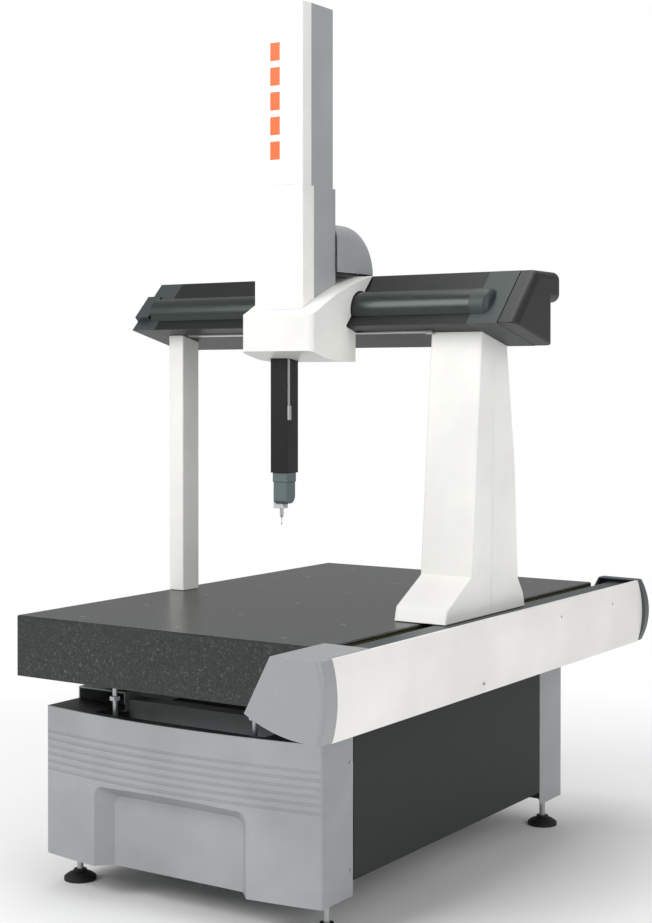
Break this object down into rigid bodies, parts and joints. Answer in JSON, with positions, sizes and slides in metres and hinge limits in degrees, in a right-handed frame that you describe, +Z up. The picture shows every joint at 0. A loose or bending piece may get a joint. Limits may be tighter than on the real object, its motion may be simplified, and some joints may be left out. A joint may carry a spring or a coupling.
{
  "type": "coordinate measuring machine",
  "caption": "Moving-bridge measuring machine: granite table on a levelling stand, sliding bridge, carriage and ram with an indexing touch probe.",
  "frame": {"origin": "on the floor, under the middle of the machine's bounding box", "axes": "+X to the operator's right, +Y away from the operator along the table, +Z up"},
  "size_m": [1.443, 2.072, 2.7],
  "materials": {
    "foot_pads": "black moulded foot",
    "threaded_studs": "zinc plated",
    "lock_nuts": "zinc plated",
    "frame_posts": "black powder coat",
    "frame_rails": "silver grey powder coat",
    "front_cover": "silver metallic powder coat",
    "front_deck_plate": "black powder coat",
    "side_covers": "dark textured powder coat",
    "rear_cover": "silver metallic powder coat",
    "isolators": "black",
    "granite_table": "lapped dark granite",
    "thread_inserts": "turned",
    "drive_housing": "dark anodised",
    "y_scale": "gilt scale tape",
    "side_cover": "white powder coat",
    "cover_screws": "button heads",
    "side_front_cap": "silver moulding",
    "side_rear_cap": "dark grey moulding",
    "y_motor_bracket": "zinc plated",
    "y_motor": "black",
    "y_drive_pulley": "machined",
    "y_idler_pulley": "machined",
    "y_belt": "black",
    "beam_body": "dark anodised",
    "beam_end_cover_left": "slate paint",
    "beam_end_cover_right": "slate paint",
    "beam_end_cap": "black moulding",
    "tube_cover": "grey anodised",
    "tube_cover_ends": "slate moulding",
    "x_scale": "scale tape",
    "rear_trough": "dark anodised",
    "x_motor": "black",
    "x_drive_pulley": "machined",
    "x_idler_pulley": "machined",
    "x_belt": "black",
    "left_column": "white powder coat",
    "leg_front_cover": "white powder coat",
    "leg_rear_cover": "white powder coat",
    "right_leg": "cast and machined",
    "bridge_air_pads": "lapped",
    "carriage_frame": "cast and machined",
    "carriage_air_pads": "lapped",
    "carriage_cover": "white paint",
    "tower_front_cover": "white paint",
    "tower_base_front_cover": "white paint",
    "tower_rear_cover": "silver grey paint",
    "dome_cover": "light grey moulding",
    "ram_drive_spine": "machined",
    "z_motor": "black",
    "z_drive_pulley": "machined",
    "z_idler_pulley": "machined",
    "z_belt": "black",
    "counterbalance_piston": "ground rod",
    "ram": "hard black anodised",
    "ram_scale": "scale tape",
    "head_mount": "grey anodised",
    "head_turret": "grey anodised",
    "head_knuckle": "satin",
    "probe_body": "black body, brass ring",
    "stylus": "steel stem, ruby ball"
  },
  "bodies": {
    "table": {"foot_pads": "foot_pads", "threaded_studs": "threaded_studs", "lock_nuts": "lock_nuts", "frame_posts": "frame_posts", "frame_rails": "frame_rails", "front_cover": "front_cover", "front_deck_plate": "front_deck_plate", "side_covers": "side_covers", "rear_cover": "rear_cover", "isolators": "isolators", "granite_table": "granite_table", "thread_inserts": "thread_inserts", "drive_housing": "drive_housing", "y_scale": "y_scale", "side_cover": "side_cover", "cover_screws": "cover_screws", "side_front_cap": "side_front_cap", "side_rear_cap": "side_rear_cap", "y_motor_bracket": "y_motor_bracket", "y_motor": "y_motor", "y_belt": "y_belt"},
    "bridge": {"beam_body": "beam_body", "beam_end_cover_left": "beam_end_cover_left", "beam_end_cover_right": "beam_end_cover_right", "beam_end_cap": "beam_end_cap", "tube_cover": "tube_cover", "tube_cover_ends": "tube_cover_ends", "x_scale": "x_scale", "rear_trough": "rear_trough", "x_motor": "x_motor", "x_belt": "x_belt", "left_column": "left_column", "leg_front_cover": "leg_front_cover", "leg_rear_cover": "leg_rear_cover", "right_leg": "right_leg", "bridge_air_pads": "bridge_air_pads"},
    "carriage": {"carriage_frame": "carriage_frame", "carriage_air_pads": "carriage_air_pads", "carriage_cover": "carriage_cover", "tower_front_cover": "tower_front_cover", "tower_base_front_cover": "tower_base_front_cover", "tower_rear_cover": "tower_rear_cover", "dome_cover": "dome_cover", "ram_drive_spine": "ram_drive_spine", "z_motor": "z_motor", "z_belt": "z_belt", "counterbalance_piston": "counterbalance_piston"},
    "ram_body": {"ram": "ram", "ram_scale": "ram_scale", "head_mount": "head_mount"},
    "turret_body": {"head_turret": "head_turret"},
    "knuckle_body": {"head_knuckle": "head_knuckle", "probe_body": "probe_body", "stylus": "stylus"},
    "y_drive_wheel": {"y_drive_pulley": "y_drive_pulley"},
    "y_idler_wheel": {"y_idler_pulley": "y_idler_pulley"},
    "x_drive_wheel": {"x_drive_pulley": "x_drive_pulley"},
    "x_idler_wheel": {"x_idler_pulley": "x_idler_pulley"},
    "z_drive_wheel": {"z_drive_pulley": "z_drive_pulley"},
    "z_idler_wheel": {"z_idler_pulley": "z_idler_pulley"}
  },
  "joints": [
    {"name": "bridge_slide", "type": "slide", "parent": "table", "child": "bridge", "axis": [0, 1, 0], "range_m": [-0.47, 0.56]},
    {"name": "carriage_slide", "type": "slide", "parent": "bridge", "child": "carriage", "axis": [1, 0, 0], "range_m": [-0.44, 0.35]},
    {"name": "ram_slide", "type": "slide", "parent": "carriage", "child": "ram_body", "axis": [0, 0, 1], "range_m": [-0.235, 0.33]},
    {"name": "head_yaw", "type": "hinge", "parent": "ram_body", "child": "turret_body", "pos_m": [-0.0365, -0.204, 1.2], "axis": [0, 0, 1], "range_deg": [-180, 180]},
    {"name": "head_tilt", "type": "hinge", "parent": "turret_body", "child": "knuckle_body", "pos_m": [-0.0655, -0.204, 1.201], "axis": [1, 0, 0], "range_deg": [0, 105]},
    {"name": "y_drive_spin", "type": "hinge", "parent": "table", "child": "y_drive_wheel", "pos_m": [0.5815, -0.879, 0.734], "axis": [1, 0, 0], "range_deg": [-1100, 1100]},
    {"name": "y_idler_spin", "type": "hinge", "parent": "table", "child": "y_idler_wheel", "pos_m": [0.5815, 0.916, 0.734], "axis": [1, 0, 0], "range_deg": [-1100, 1100]},
    {"name": "x_drive_spin", "type": "hinge", "parent": "bridge", "child": "x_drive_wheel", "pos_m": [0.6015, 0.1595, 1.824], "axis": [0, 1, 0], "range_deg": [-1100, 1100]},
    {"name": "x_idler_spin", "type": "hinge", "parent": "bridge", "child": "x_idler_wheel", "pos_m": [-0.6735, 0.1595, 1.824], "axis": [0, 1, 0], "range_deg": [-1100, 1100]},
    {"name": "z_drive_spin", "type": "hinge", "parent": "carriage", "child": "z_drive_wheel", "pos_m": [0.0385, -0.204, 1.95], "axis": [0, 1, 0], "range_deg": [-1100, 1100]},
    {"name": "z_idler_spin", "type": "hinge", "parent": "carriage", "child": "z_idler_wheel", "pos_m": [0.0385, -0.204, 2.615], "axis": [0, 1, 0], "range_deg": [-1100, 1100]}
  ],
  "couplings": [
    {"joint": "y_drive_spin", "follows": "bridge_slide", "rad_per_m": -29.586},
    {"joint": "y_idler_spin", "follows": "bridge_slide", "rad_per_m": -29.586},
    {"joint": "x_drive_spin", "follows": "carriage_slide", "rad_per_m": 31.447},
    {"joint": "x_idler_spin", "follows": "carriage_slide", "rad_per_m": 31.447},
    {"joint": "z_drive_spin", "follows": "ram_slide", "rad_per_m": 42.017},
    {"joint": "z_idler_spin", "follows": "ram_slide", "rad_per_m": 42.017}
  ]
}
